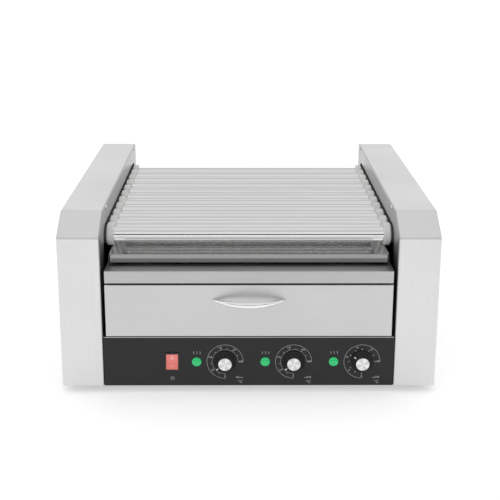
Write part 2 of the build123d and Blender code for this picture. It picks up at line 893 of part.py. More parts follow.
# Indicator lamps: a green dome on the panel and the lamp body behind it
lamp_radius = lamp_diameter / 2
lamp_rim = 1
dome_height = 3.2
dome_radius = (lamp_radius**2 + dome_height**2) / (2 * dome_height)
dome_middle = dome_radius - sqrt(dome_radius**2 - (lamp_radius / 2) ** 2) - lamp_rim - dome_height
lamp_body = 24
with BuildPart() as indicator_lamps:
    for x in lamp_xs:
        with BuildSketch(Plane(origin=(x, front, control_z), x_dir=(1, 0, 0), z_dir=(0, 0, 1))):
            with BuildLine():
                Polyline(
                    (0, -lamp_rim - dome_height),
                    (0, lamp_body),
                    (lamp_hole / 2 - 0.1, lamp_body),
                    (lamp_hole / 2 - 0.1, 0),
                    (lamp_radius, 0),
                    (lamp_radius, -lamp_rim),
                )
                ThreePointArc(
                    (lamp_radius, -lamp_rim),
                    (lamp_radius / 2, dome_middle),
                    (0, -lamp_rim - dome_height),
                )
            make_face()
        revolve(axis=Axis((x, front, control_z), (0, 1, 0)))
keep(indicator_lamps, "indicator_lamps")


# Thermostats: bodies behind the panel with a collar for each knob's stem
thermostat = (40, 38, 26)
collar = 6
stem_length = 20
with BuildPart() as thermostats:
    for x in dial_xs:
        block(
            (x - thermostat[0] / 2, x + thermostat[0] / 2),
            (front + collar, front + collar + thermostat[2]),
            (control_z - thermostat[1] / 2, control_z + thermostat[1] / 2),
        )
    with BuildSketch(upright(front + collar)):
        with Locations([(x, control_z) for x in dial_xs]):
            Circle(9)
    extrude(amount=collar - panel_thickness)
    with BuildSketch(upright(front + stem_length + 2)):
        with Locations([(x, control_z) for x in dial_xs]):
            Circle(stem_diameter / 2 + 0.2)
    extrude(amount=stem_length + 4, mode=Mode.SUBTRACT)
keep(thermostats, "thermostats")

# Knobs: a skirt, a tapered grip with a recess for the cap, a notch for the pointer and a stem
cap_depth = 0.9
cap_dome = 0.5
skirt_gap = 0.6
skirt_edge = 2.4
pointer_radius = 15.2
for number, (x, angle) in enumerate(zip(dial_xs, pointer_angles), start=1):
    knob_axis = Axis((x, front, control_z), (0, 1, 0))
    knob_side = Plane(origin=(x, front, control_z), x_dir=(1, 0, 0), z_dir=(0, 0, 1))
    with BuildPart() as knob:
        with BuildSketch(knob_side):
            with BuildLine():
                Polyline(
                    (0, stem_length),
                    (stem_diameter / 2, stem_length),
                    (stem_diameter / 2, -skirt_gap),
                    (knob_diameter / 2, -skirt_gap),
                    (knob_diameter / 2, -skirt_edge),
                    (knob_diameter / 2 - 1.4, -skirt_edge - 1),
                    (knob_top / 2, 0.9 - knob_height),
                    (knob_top / 2 - 0.7, -knob_height),
                    (knob_cap_diameter / 2, -knob_height),
                    (knob_cap_diameter / 2, cap_depth - knob_height),
                    (0, cap_depth - knob_height),
                    close=True,
                )
            make_face()
        revolve(axis=knob_axis)
        with BuildSketch(upright(front)):
            with Locations((x, control_z)):
                with PolarLocations(pointer_radius, 1, start_angle=angle):
                    SlotOverall(5, 1.8)
        extrude(amount=8.2)
    keep(knob, f"knob_{number}")
    with BuildPart() as knob_cap:
        with BuildSketch(knob_side):
            with BuildLine():
                Polyline(
                    (0, cap_depth - knob_height),
                    (knob_cap_diameter / 2 - 0.05, cap_depth - knob_height),
                    (knob_cap_diameter / 2 - 0.05, -knob_height - 0.1),
                    (knob_cap_diameter / 2 - cap_dome, -knob_height - cap_dome),
                    (0, -knob_height - cap_dome),
                    close=True,
                )
            make_face()
        revolve(axis=knob_axis)
    keep(knob_cap, f"knob_cap_{number}")


# Rear panel: closes the back below the rollers, with vents and the hole for the cord gland
gland_z = base + gland_height
rear_top = base + rear_panel_height
with BuildPart() as rear_panel:
    block((-inner_wall, inner_wall), (back - sheet, back), (base + 0.3, rear_top))
    block((-inner_wall, inner_wall), (back - 14, back), (rear_top - sheet, rear_top))
    for side, hand in sides:
        block(
            (side * inner_wall, side * (inner_wall - sheet)),
            (back - 20, back),
            (base + pan_wall + 4, rear_top),
        )
    with BuildSketch(upright(back + 1)):
        with Locations((gland_place, gland_z)):
            Circle(gland_diameter / 2)
        with Locations(rear_screws):
            Circle(screw_diameter / 2 + 0.2)
        with Locations((-90, base + 60), (90, base + 110)):
            with GridLocations(12, 0, 9, 1):
                SlotOverall(46, 4, rotation=90)
    extrude(amount=sheet + 2, mode=Mode.SUBTRACT)
keep(rear_panel, "rear_panel")

# Cord gland: a hexagon and a dome outside, a thread and a lock nut inside, with an empty bore
with BuildPart() as cord_gland:
    for start, length, radius in (
        (back + gland_reach, gland_reach - 5, gland_diameter / 2),
        (back + 5, 18, gland_diameter / 2 - 0.1),
    ):
        with BuildSketch(upright(start)):
            with Locations((gland_place, gland_z)):
                Circle(radius)
        extrude(amount=length)
    for start in (back + 5, back - sheet):
        with BuildSketch(upright(start)):
            with Locations((gland_place, gland_z)):
                RegularPolygon(12, 6)
        extrude(amount=5)
    fillet(faces().sort_by(Axis.Y)[-1].edges(), radius=2.5)
    with BuildSketch(upright(back + gland_reach + 1)):
        with Locations((gland_place, gland_z)):
            Circle(gland_bore / 2)
    extrude(amount=gland_reach + 40, mode=Mode.SUBTRACT)
keep(cord_gland, "cord_gland")


# Feet and their screws
with BuildPart() as feet:
    for x, y in foot_places:
        with BuildSketch(level(0)):
            with Locations((x, y)):
                Circle(foot_diameter / 2 - 2)
        with BuildSketch(level(foot_height)):
            with Locations((x, y)):
                Circle(foot_diameter / 2)
        loft()
        with Locations((x, y, 0)):
            with Locations(Rotation(180, 0, 0)):
                CounterBoreHole(foot_hole / 2, 6, 6, depth=foot_height)
keep(feet, "feet")

with BuildPart() as foot_screws:
    for x, y in foot_places:
        for start, length, radius in ((3, 3, 4.75), (5, foot_height + sheet, 2.5)):
            with BuildSketch(level(start)):
                with Locations((x, y)):
                    Circle(radius)
            extrude(amount=length)
        with BuildSketch(level(base + sheet)):
            with Locations((x, y)):
                RegularPolygon(4.6, 6)
        extrude(amount=4)
keep(foot_screws, "foot_screws")

# Cover screws: pan heads, in the inner flanges of the top covers and in the rear panel
with BuildPart() as cover_screws:
    for side, hand in sides:
        for reach, radius in ((-screw_head_height, screw_head / 2), (7, screw_diameter / 2)):
            with BuildSketch(across(side * inner_wall)):
                with Locations([(y, screw_z) for y in screw_places]):
                    Circle(radius)
            extrude(amount=side * reach)
    for reach, radius in ((-screw_head_height, screw_head / 2), (6, screw_diameter / 2)):
        with BuildSketch(upright(back)):
            with Locations(rear_screws):
                Circle(radius)
        extrude(amount=reach)
keep(cover_screws, "cover_screws")
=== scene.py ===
import json
from math import atan, cos, pi, radians, sin

import bmesh
import bpy
from mathutils import Matrix, Vector


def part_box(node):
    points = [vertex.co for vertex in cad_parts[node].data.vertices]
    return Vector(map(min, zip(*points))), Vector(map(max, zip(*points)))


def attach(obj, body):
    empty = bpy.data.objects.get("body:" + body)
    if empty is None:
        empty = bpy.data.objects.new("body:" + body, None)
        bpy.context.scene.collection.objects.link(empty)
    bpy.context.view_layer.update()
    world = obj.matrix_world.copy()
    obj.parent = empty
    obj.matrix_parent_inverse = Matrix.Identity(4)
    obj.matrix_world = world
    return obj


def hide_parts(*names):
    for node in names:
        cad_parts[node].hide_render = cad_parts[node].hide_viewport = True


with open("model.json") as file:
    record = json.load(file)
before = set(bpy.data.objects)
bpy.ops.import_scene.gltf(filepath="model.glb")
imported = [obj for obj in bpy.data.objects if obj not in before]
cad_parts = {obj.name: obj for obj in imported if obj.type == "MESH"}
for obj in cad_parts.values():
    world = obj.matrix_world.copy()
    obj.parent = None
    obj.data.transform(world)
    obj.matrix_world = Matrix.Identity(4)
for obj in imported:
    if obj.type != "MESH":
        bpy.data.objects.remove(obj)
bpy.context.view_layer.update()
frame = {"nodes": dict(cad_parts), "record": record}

nodes = frame["nodes"]

# Places read from the frame
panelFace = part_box("control_panel")[0].y
dialBoxes = [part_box(f"knob_{n}") for n in (1, 2, 3)]
dialXs = [(low.x + high.x) / 2 for low, high in dialBoxes]
dialZ = (dialBoxes[0][0].z + dialBoxes[0][1].z) / 2
lampLow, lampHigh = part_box("indicator_lamps")
lampRadius = (lampHigh.z - lampLow.z) / 2
lampGap = (lampHigh.x - lampLow.x - 2 * lampRadius) / 2
lampXs = [lampLow.x + lampRadius + n * lampGap for n in range(3)]
rockerLow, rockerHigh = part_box("rocker")
rockerX = (rockerLow.x + rockerHigh.x) / 2


def finishPiece(name, bm, material, body):
    # merges, turns the faces outwards and hangs the piece on its body
    bmesh.ops.remove_doubles(bm, verts=bm.verts, dist=1e-6)
    bmesh.ops.recalc_face_normals(bm, faces=bm.faces)
    mesh = bpy.data.meshes.new(name)
    bm.to_mesh(mesh)
    bm.free()
    piece = bpy.data.objects.new(name, mesh)
    bpy.context.scene.collection.objects.link(piece)
    mesh.materials.append(material)
    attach(piece, body)
    return piece


# Materials
def newMaterial(name):
    material = bpy.data.materials.new(name)
    material.use_nodes = True
    tree = material.node_tree
    return material, tree, tree.nodes["Principled BSDF"]


def grainNodes(tree, scale, detail=4.0, noiseScale=1.0):
    # noise on object coordinates, stretched by an uneven scale
    place = tree.nodes.new("ShaderNodeTexCoord")
    stretch = tree.nodes.new("ShaderNodeMapping")
    stretch.inputs["Scale"].default_value = scale
    noise = tree.nodes.new("ShaderNodeTexNoise")
    noise.inputs["Scale"].default_value = noiseScale
    noise.inputs["Detail"].default_value = detail
    tree.links.new(place.outputs["Object"], stretch.inputs["Vector"])
    tree.links.new(stretch.outputs["Vector"], noise.inputs["Vector"])
    return noise


# Most of the noise lies between these two values
noiseLimits = (0.3, 0.7)
tintLimits = (0.32, 0.68)


def spread(tree, source, low, high):
    remap = tree.nodes.new("ShaderNodeMapRange")
    remap.inputs["From Min"].default_value = noiseLimits[0]
    remap.inputs["From Max"].default_value = noiseLimits[1]
    remap.inputs["To Min"].default_value = low
    remap.inputs["To Max"].default_value = high
    tree.links.new(source.outputs["Fac"], remap.inputs["Value"])
    return remap


def tint(tree, source, dark, light):
    ramp = tree.nodes.new("ShaderNodeValToRGB")
    ramp.color_ramp.elements[0].position = tintLimits[0]
    ramp.color_ramp.elements[0].color = (*dark, 1)
    ramp.color_ramp.elements[1].position = tintLimits[1]
    ramp.color_ramp.elements[1].color = (*light, 1)
    tree.links.new(source.outputs["Fac"], ramp.inputs["Fac"])
    return ramp


def relief(tree, source, shader, strength, distance):
    bump = tree.nodes.new("ShaderNodeBump")
    bump.inputs["Strength"].default_value = strength
    bump.inputs["Distance"].default_value = distance
    tree.links.new(source.outputs["Fac"], bump.inputs["Height"])
    tree.links.new(bump.outputs["Normal"], shader.inputs["Normal"])


def shaded(tone, factor):
    return tuple(min(c * factor, 1) for c in tone)


# Patches of wear over the grain: their scale, how far they move the roughness, the grain's height
metalWear = {"patches": 9, "rough": 0.12, "height": 0.0004}
plasticWear = {"patches": 40, "rough": 0.15, "height": 0.0002, "dark": 0.93, "light": 1.06}


def metal(name, tone, grain, roughness, bump=0.06, metallic=1.0, shift=0.03):
    material, tree, shader = newMaterial(name)
    noise = grainNodes(tree, grain)
    cloud = grainNodes(tree, 3 * (metalWear["patches"],), 2.0)
    shader.inputs["Metallic"].default_value = metallic
    ramp = tint(tree, noise, shaded(tone, 1 - shift), shaded(tone, 1 + shift))
    tree.links.new(ramp.outputs["Color"], shader.inputs["Base Color"])
    wear = roughness * metalWear["rough"]
    rough = spread(tree, cloud, roughness - wear, roughness + wear)
    tree.links.new(rough.outputs["Result"], shader.inputs["Roughness"])
    relief(tree, noise, shader, bump, metalWear["height"])
    return material


def plastic(
    name, tone, roughness, grain=700, bump=0.08, transmission=0.0, coat=0.0, gloss=0.5, glow=0.0,
):
    material, tree, shader = newMaterial(name)
    noise = grainNodes(tree, (grain, grain, grain), 3.0)
    cloud = grainNodes(tree, 3 * (plasticWear["patches"],), 2.0)
    dark = shaded(tone, plasticWear["dark"])
    ramp = tint(tree, cloud, dark, shaded(tone, plasticWear["light"]))
    tree.links.new(ramp.outputs["Color"], shader.inputs["Base Color"])
    wear = roughness * plasticWear["rough"]
    rough = spread(tree, noise, roughness - wear, roughness + wear)
    tree.links.new(rough.outputs["Result"], shader.inputs["Roughness"])
    shader.inputs["Transmission Weight"].default_value = transmission
    shader.inputs["Coat Weight"].default_value = coat
    shader.inputs["Specular IOR Level"].default_value = gloss
    if glow:
        tree.links.new(ramp.outputs["Color"], shader.inputs["Emission Color"])
        shader.inputs["Emission Strength"].default_value = glow
    relief(tree, noise, shader, bump, plasticWear["height"])
    return material


def shadePlace(material, axis, edge, factor, below=False, fold=False):
    # paints shade: multiplies the base colour on one side of a plane in object coordinates
    tree = material.node_tree
    shader = tree.nodes["Principled BSDF"]
    source = shader.inputs["Base Color"].links[0].from_socket
    place = tree.nodes.new("ShaderNodeTexCoord")
    parts = tree.nodes.new("ShaderNodeSeparateXYZ")
    tree.links.new(place.outputs["Object"], parts.inputs["Vector"])
    distance = parts.outputs[axis]
    if fold:
        size = tree.nodes.new("ShaderNodeMath")
        size.operation = "ABSOLUTE"
        tree.links.new(distance, size.inputs[0])
        distance = size.outputs["Value"]
    side = tree.nodes.new("ShaderNodeMath")
    side.operation = "LESS_THAN" if below else "GREATER_THAN"
    side.inputs[1].default_value = edge
    tree.links.new(distance, side.inputs[0])
    mixed = tree.nodes.new("ShaderNodeMix")
    mixed.data_type = "RGBA"
    mixed.blend_type = "MULTIPLY"
    mixed.inputs["B"].default_value = (factor, factor, factor, 1)
    tree.links.new(side.outputs["Value"], mixed.inputs["Factor"])
    tree.links.new(source, mixed.inputs["A"])
    tree.links.new(mixed.outputs["Result"], shader.inputs["Base Color"])


# the fans and the dimmest level set the painted highlight on the knob caps
spun = {"rings": 650, "wobble": 1.2, "highlightFans": 4, "shadeBetweenHighlights": 0.72, "roughness": 0.24}


def spunDisc(name, tone, centreX, centreZ):
    # turned rings about the disc's own middle, and a painted highlight: bright fans that cross it,
    # with painted shade between them
    material, tree, shader = newMaterial(name)
    place = tree.nodes.new("ShaderNodeTexCoord")
    centre = tree.nodes.new("ShaderNodeMapping")
    centre.inputs["Location"].default_value = (-centreX, 0, -centreZ)
    rings = tree.nodes.new("ShaderNodeTexWave")
    rings.wave_type = "RINGS"
    rings.rings_direction = "Y"
    rings.inputs["Scale"].default_value = spun["rings"]
    rings.inputs["Distortion"].default_value = spun["wobble"]
    tree.links.new(place.outputs["Object"], centre.inputs["Vector"])
    tree.links.new(centre.outputs["Vector"], rings.inputs["Vector"])
    facing = tree.nodes.new("ShaderNodeMapping")
    facing.inputs["Rotation"].default_value = (pi / 2, 0, 0)
    tree.links.new(centre.outputs["Vector"], facing.inputs["Vector"])
    around = tree.nodes.new("ShaderNodeTexGradient")
    around.gradient_type = "RADIAL"
    tree.links.new(facing.outputs["Vector"], around.inputs["Vector"])
    # painted highlight: the base colour swings between bright fans and darker gaps around the
    # middle
    highlightFans = tree.nodes.new("ShaderNodeMath")
    highlightFans.operation = "MULTIPLY"
    highlightFans.inputs[1].default_value = 2 * pi * spun["highlightFans"]
    tree.links.new(around.outputs["Fac"], highlightFans.inputs[0])
    highlightWave = tree.nodes.new("ShaderNodeMath")
    highlightWave.operation = "SINE"
    tree.links.new(highlightFans.outputs["Value"], highlightWave.inputs[0])
    paintedHighlight = tree.nodes.new("ShaderNodeMapRange")
    paintedHighlight.inputs["From Min"].default_value = -1
    paintedHighlight.inputs["To Min"].default_value = spun["shadeBetweenHighlights"]
    paintedHighlight.inputs["To Max"].default_value = 1
    tree.links.new(highlightWave.outputs["Value"], paintedHighlight.inputs["Value"])
    ramp = tint(tree, rings, shaded(tone, 0.9), tone)
    turned = tree.nodes.new("ShaderNodeVectorMath")
    turned.operation = "SCALE"
    tree.links.new(ramp.outputs["Color"], turned.inputs[0])
    tree.links.new(paintedHighlight.outputs["Result"], turned.inputs["Scale"])
    tree.links.new(turned.outputs["Vector"], shader.inputs["Base Color"])
    shader.inputs["Metallic"].default_value = 1.0
    shader.inputs["Roughness"].default_value = spun["roughness"]
    relief(tree, rings, shader, 0.25, 0.0001)
    return material


steelTone = (0.71, 0.71, 0.706)
upright = (420, 420, 9)
sideways = (9, 420, 420)
finishes = {
    "stainless_cover": metal("satinStainless", steelTone, upright, 0.34, 0.04, shift=0.014),
    # painted shade: the drawer front and the housing ledge are the same stainless as the covers,
    # given darker tones for the shade and dark reflections on them
    "drawerSteelPaintedShade": metal("drawerStainlessPaintedShade", (0.60, 0.60, 0.597), sideways, 0.36, 0.04, shift=0.014),
    "housingSteelPaintedShade": metal(
        "housingStainlessPaintedShade", (0.49, 0.49, 0.487), sideways, 0.34, 0.04, shift=0.014,
    ),
    "polished_roller": metal("polishedTube", (0.74, 0.74, 0.736), (14, 900, 900), 0.09, 0.03),
    "sprocket_steel": metal("oiledSteel", (0.42, 0.42, 0.43), (200, 200, 200), 0.42),
    "chain_steel": metal("darkChain", (0.25, 0.25, 0.26), (260, 260, 260), 0.45),
    # painted shade: the zinc sheet is given a dark tone for the shade inside the case
    "zinc_sheet": metal("zincSheetPaintedShade", (0.20, 0.205, 0.21), (60, 60, 60), 0.45, shift=0.08),
    "pan_steel": metal("brightPan", (0.72, 0.72, 0.71), sideways, 0.3),
    "tray_steel": metal("trayStainless", (0.84, 0.84, 0.835), sideways, 0.10, 0.002, shift=0.015),
    "heater_sheath": metal(
        "heatTintedSheath", (0.32, 0.29, 0.26), (30, 300, 300), 0.45, shift=0.12,
    ),
    "screw_steel": metal("platedScrew", (0.78, 0.78, 0.78), (300, 300, 300), 0.25),
    "handle_chrome": metal("handleChrome", (0.86, 0.86, 0.86), (40, 500, 500), 0.06, 0.015),
    "black_panel": plastic("blackPanel", (0.018, 0.018, 0.020), 0.45, 500, gloss=0.3),
    "white_bush": plastic("whiteBush", (0.88, 0.88, 0.87), 0.42),
    "motor_paint": plastic("motorPaint", (0.17, 0.18, 0.19), 0.5, 300),
    "brown_moulding": plastic("brownMoulding", (0.15, 0.09, 0.06), 0.5),
    "switch_black": plastic("switchBlack", (0.012, 0.012, 0.012), 0.3),
    "rocker_red": plastic(
        "rockerRed", (0.78, 0.21, 0.18), 0.25, 400, 0.03, 0.08, 0.2, glow=0.16,
    ),
    "lamp_green": plastic(
        "lampGreen", (0.0, 0.50, 0.14), 0.12, 300, 0.02, 0.05, 0.6, glow=0.25,
    ),
    "foot_rubber": plastic("footRubber", (0.025, 0.025, 0.025), 0.8, 900, 0.2),
    "gland_black": plastic("glandBlack", (0.03, 0.03, 0.03), 0.5),
    "knob_black": plastic("knobBlack", (0.010, 0.010, 0.011), 0.42, 900, 0.12, gloss=0.3),
}
# Painted shade: the tray's front skirt is painted darker for the dark reflection it shows, the
# bushes' necks for the shade inside the slots, and the covers' inner flanges for the shade that
# falls on them
paintedShadows = {
    "tray": {"depth": 0.002, "factor": 0.36},
    "bush": {"depth": 0.0145, "factor": 0.12},
    "flange": {"depth": 0.0018, "factor": 0.62},
}
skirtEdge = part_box("drip_tray")[0].y + paintedShadows["tray"]["depth"]
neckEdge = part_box("roller_bushes")[1].x - paintedShadows["bush"]["depth"]
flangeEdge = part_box("right_top_cover")[0].x + paintedShadows["flange"]["depth"]
# painted shade and dark reflection multiplied into the base colour of the tray, the bushes and the
# covers
shadePlace(finishes["tray_steel"], "Y", skirtEdge, paintedShadows["tray"]["factor"], below=True)
shadePlace(finishes["white_bush"], "X", neckEdge, paintedShadows["bush"]["factor"], fold=True)
cover = finishes["stainless_cover"]
shadePlace(cover, "X", flangeEdge, paintedShadows["flange"]["factor"], below=True, fold=True)
ink = plastic("printedInk", (0.42, 0.42, 0.42), 0.6)
pointerPaint = plastic("pointerPaint", (0.85, 0.85, 0.85), 0.5)
print("materials made")

slots = {row["node"]: row["material_slot"] for row in frame["record"]["subparts"]}
for name, piece in nodes.items():
    finish = finishes.get(slots[name])
    # knob caps get spun metal with painted highlight fans
    if name.startswith("knob_cap"):
        low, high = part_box(name)
        middle = (low + high) / 2
        finish = spunDisc(name + "Spun", (0.88, 0.88, 0.885), middle.x, middle.z)
    # darker stainless copies with painted shade for the drawer front and the housing
    if name == "drawer_front":
        finish = finishes["drawerSteelPaintedShade"]
    if name == "drawer_housing":
        finish = finishes["housingSteelPaintedShade"]
    piece.data.materials.clear()
    piece.data.materials.append(finish)
print("frame painted", len(nodes), "nodes")


# Printing on the control panel: flat shapes a tenth of a millimetre thick
printing = {
    "thickness": 0.0001,
    "ringRadius": 0.028,
    "ringEnd": 0.0235,
    "ringFoot": 0.005,
    "ringGap": 3,
    "lineWidth": 0.0005,
    "numberRadius": 0.0246,
    "numberSize": 0.0042,
    "sweep": 270,
    "unitSize": 0.0068,
    "unitShift": (0.0235, -0.0343),
}


def dialPoint(x, radius, turn):
    # clockwise from the bottom, as the panel is seen from the front
    return Vector((x - radius * sin(radians(turn)), panelFace, dialZ - radius * cos(radians(turn))))


def arcBand(bm, x, radius, width, start, end, z=dialZ):
    # a flat band spun about the dial's axis
    steps = max(8, int(abs(end - start) / 4))
    inner = radius - width / 2
    outer = radius + width / 2
    aside = sin(radians(start))
    down = cos(radians(start))
    corners = [bm.verts.new((x - r * aside, panelFace, z - r * down)) for r in (inner, outer)]
    edge = bm.edges.new(corners)
    bmesh.ops.spin(
        bm, geom=[*corners, edge], cent=(x, panelFace, z), axis=(0, 1, 0),
        angle=radians(end - start), steps=steps,
    )


def bar(bm, start, end, width):
    # a flat bar between two points on the panel
    along = end - start
    aside = Vector((-along.z, 0, along.x)).normalized() * width
    place = Matrix((along, aside, Vector((0, 1, 0)))).transposed().to_4x4()
    place.translation = (start + end) / 2
    bmesh.ops.create_grid(bm, x_segments=1, y_segments=1, size=0.5, matrix=place)


def thicken(bm):
    # raises the flat shapes off the panel, towards the front
    bmesh.ops.remove_doubles(bm, verts=bm.verts, dist=1e-7)
    flat = bm.faces[:]
    raised = bmesh.ops.extrude_face_region(bm, geom=flat, use_keep_orig=True)
    moved = [v for v in raised["geom"] if isinstance(v, bmesh.types.BMVert)]
    bmesh.ops.translate(bm, verts=moved, vec=(0, -printing["thickness"], 0))


def printPiece(name, bm):
    thicken(bm)
    return finishPiece(name, bm, ink, "case")


def printText(name, words, size, place):
    # text made a mesh before it is placed
    curve = bpy.data.curves.new(name, "FONT")
    curve.body = words
    curve.size = size
    curve.align_x = "CENTER"
    curve.align_y = "CENTER"
    curve.extrude = printing["thickness"] / 2
    curve.resolution_u = 3
    words3d = bpy.data.objects.new(name + "Curve", curve)
    mesh = bpy.data.meshes.new_from_object(words3d)
    bpy.data.objects.remove(words3d)
    mesh.transform(Matrix.Rotation(pi / 2, 4, "X"))
    mesh.transform(Matrix.Translation(place + Vector((0, -printing["thickness"] / 2, 0))))
    bm = bmesh.new()
    bm.from_mesh(mesh)
    return finishPiece(name, bm, ink, "case")


# The first two dials are alike; the third has fewer, thicker ticks and no inner arc
ovenDial = {
    "numbers": ("0", "50", "100", "150", "200", "250"),
    "ticks": 11, "tickStart": 0.0205, "tickWidth": 0.0007, "innerArc": 0.0201, "arcWidth": 0.0004,
}
warmDial = {
    "numbers": ("0", "20", "40", "60", "80", "100"),
    "ticks": 10, "tickStart": 0.0192, "tickWidth": 0.0011, "innerArc": None, "arcWidth": None,
}
tickLength = 0.0022
zone = {
    "bars": 5, "pitch": 0.0022, "shift": (0.0225, -0.0262), "drop": 0.0016,
    "long": 0.0032, "short": 0.0018, "width": 0.0009,
}
for number, x in enumerate(dialXs, start=1):
    dial = ovenDial if number < 3 else warmDial
    bm = bmesh.new()
    arcBand(bm, x, printing["ringRadius"], printing["lineWidth"], 0, printing["sweep"])
    bottom = dialPoint(x, printing["ringRadius"], 0)
    bar(bm, bottom, bottom + Vector((0, 0, printing["ringFoot"])), printing["lineWidth"])
    for turn in (printing["sweep"], printing["sweep"] - printing["ringGap"]):
        inside = dialPoint(x, printing["ringEnd"], turn)
        bar(bm, inside, dialPoint(x, printing["ringRadius"], turn), printing["lineWidth"])
    printPiece(f"dial_ring_{number}", bm)
    bm = bmesh.new()
    for tick in range(dial["ticks"]):
        turn = tick * printing["sweep"] / (dial["ticks"] - 1)
        inside = dialPoint(x, dial["tickStart"], turn)
        bar(bm, inside, dialPoint(x, dial["tickStart"] + tickLength, turn), dial["tickWidth"])
    if dial["innerArc"]:
        arcBand(bm, x, dial["innerArc"], dial["arcWidth"], 0, printing["sweep"])
    printPiece(f"dial_ticks_{number}", bm)
    for place, words in enumerate(dial["numbers"]):
        turn = place * printing["sweep"] / (len(dial["numbers"]) - 1)
        spot = dialPoint(x, printing["numberRadius"], turn)
        printText(f"dial_number_{number}_{place}", words, printing["numberSize"], spot)
    spot = Vector((x + printing["unitShift"][0], panelFace, dialZ + printing["unitShift"][1]))
    printText(f"dial_unit_{number}", "°C", printing["unitSize"], spot)
    # a plain mark for the zone: a row of bars with the heated ones longer
    bm = bmesh.new()
    for n in range(zone["bars"]):
        left = x + zone["shift"][0] + (n - 2) * zone["pitch"]
        rise = zone["long"] if (n < 2) == (number == 1) else zone["short"]
        foot = Vector((left, panelFace, dialZ + zone["shift"][1] - zone["drop"]))
        bar(bm, foot, foot + Vector((0, 0, rise)), zone["width"])
    printPiece(f"zone_mark_{number}", bm)
print("dials printed")

# Three bent strokes over each lamp, for heat
heat = {"rise": 0.0150, "pitch": 0.0050, "bend": 0.0010, "half": 0.0022, "width": 0.0007}
for number, x in enumerate(lampXs, start=1):
    bm = bmesh.new()
    for n in (-1, 0, 1):
        low = Vector((x + n * heat["pitch"], panelFace, dialZ + heat["rise"] - heat["half"]))
        middle = low + Vector((heat["bend"], 0, heat["half"]))
        bar(bm, low, middle, heat["width"])
        bar(bm, middle, low + Vector((0, 0, 2 * heat["half"])), heat["width"])
    printPiece(f"heat_mark_{number}", bm)

# An open circle and a stroke under the rocker
power = {
    "drop": 0.0275, "radius": 0.0026, "width": 0.0006, "start": 215, "end": 505,
    "rise": 0.0006, "stroke": 0.0028,
}
bm = bmesh.new()
powerZ = dialZ - power["drop"]
arcBand(bm, rockerX, power["radius"], power["width"], power["start"], power["end"], powerZ)
stroke = Vector((rockerX, panelFace, powerZ + power["rise"]))
bar(bm, stroke, stroke + Vector((0, 0, power["stroke"])), power["width"])
printPiece("power_mark", bm)
print("marks printed")


# Knobs: a fluted grip and a painted pointer
grip = {
    "ribs": 28, "radius": 0.0121, "width": 0.0011, "depth": 0.0013, "length": 0.0062,
    "edge": 0.0003, "front": 0.0072,
}
pointer = {
    "radius": 0.0152, "length": 0.0050, "width": 0.0018, "reach": 0.0082, "paint": 0.00015,
    "taper": 0.8, "edge": 0.0006,
}
pointerTurns = (-142, -142, 140)
for number, (x, turn) in enumerate(zip(dialXs, pointerTurns), start=1):
    bm = bmesh.new()
    for n in range(grip["ribs"]):
        angle = 2 * pi * n / grip["ribs"]
        made = bmesh.ops.create_cube(bm, size=1)
        bmesh.ops.scale(bm, verts=made["verts"], vec=(grip["depth"], grip["length"], grip["width"]))
        edges = list({e for v in made["verts"] for e in v.link_edges})
        made = bmesh.ops.bevel(
            bm, geom=edges, offset=grip["edge"], segments=1, profile=0.5, affect="EDGES",
            material=-1,
        )
        verts = list({v for f in made["faces"] for v in f.verts})
        bmesh.ops.translate(bm, verts=verts, vec=(grip["radius"], 0, 0))
        around = Matrix.Rotation(angle, 3, "Y")
        bmesh.ops.rotate(bm, verts=verts, cent=(0, 0, 0), matrix=around)
        bmesh.ops.translate(bm, verts=verts, vec=(x, panelFace - grip["front"], dialZ))
    body = f"knob_{number}_body"
    finishPiece(f"knob_grip_{number}", bm, finishes["knob_black"], body)
    bm = bmesh.new()
    bmesh.ops.create_cube(bm, size=1)
    length = pointer["length"] - pointer["width"] / 2
    size = (length, pointer["paint"], pointer["width"] * pointer["taper"])
    bmesh.ops.scale(bm, verts=bm.verts, vec=size)
    ends = [e for e in bm.edges if abs(e.verts[0].co.y - e.verts[1].co.y) > 1e-6]
    bmesh.ops.bevel(
        bm, geom=ends, offset=pointer["edge"], segments=4, profile=0.5, affect="EDGES", material=-1,
    )
    bmesh.ops.translate(bm, verts=bm.verts, vec=(pointer["radius"], 0, 0))
    around = Matrix.Rotation(-radians(turn), 3, "Y")
    bmesh.ops.rotate(bm, verts=bm.verts, cent=(0, 0, 0), matrix=around)
    front = panelFace - pointer["reach"] - pointer["paint"] / 2
    bmesh.ops.translate(bm, verts=bm.verts, vec=(x, front, dialZ))
    finishPiece(f"knob_pointer_{number}", bm, pointerPaint, body)
print("knobs dressed")


# Pan-head screws with a cross recess, in place of the plain ones
screw = {
    "radius": 0.00325, "height": 0.0022, "rim": 0.35, "slot": 0.0007, "blade": 0.0036,
    "recess": 0.0009, "shank": 0.0015,
}


def lathe(bm, points):
    # a line of points spun a full turn about the z axis
    verts = [bm.verts.new(point) for point in points]
    edges = [bm.edges.new(pair) for pair in zip(verts, verts[1:])]
    bmesh.ops.spin(
        bm, geom=[*verts, *edges], cent=(0, 0, 0), axis=(0, 0, 1), angle=2 * pi, steps=28,
        use_merge=True,
    )


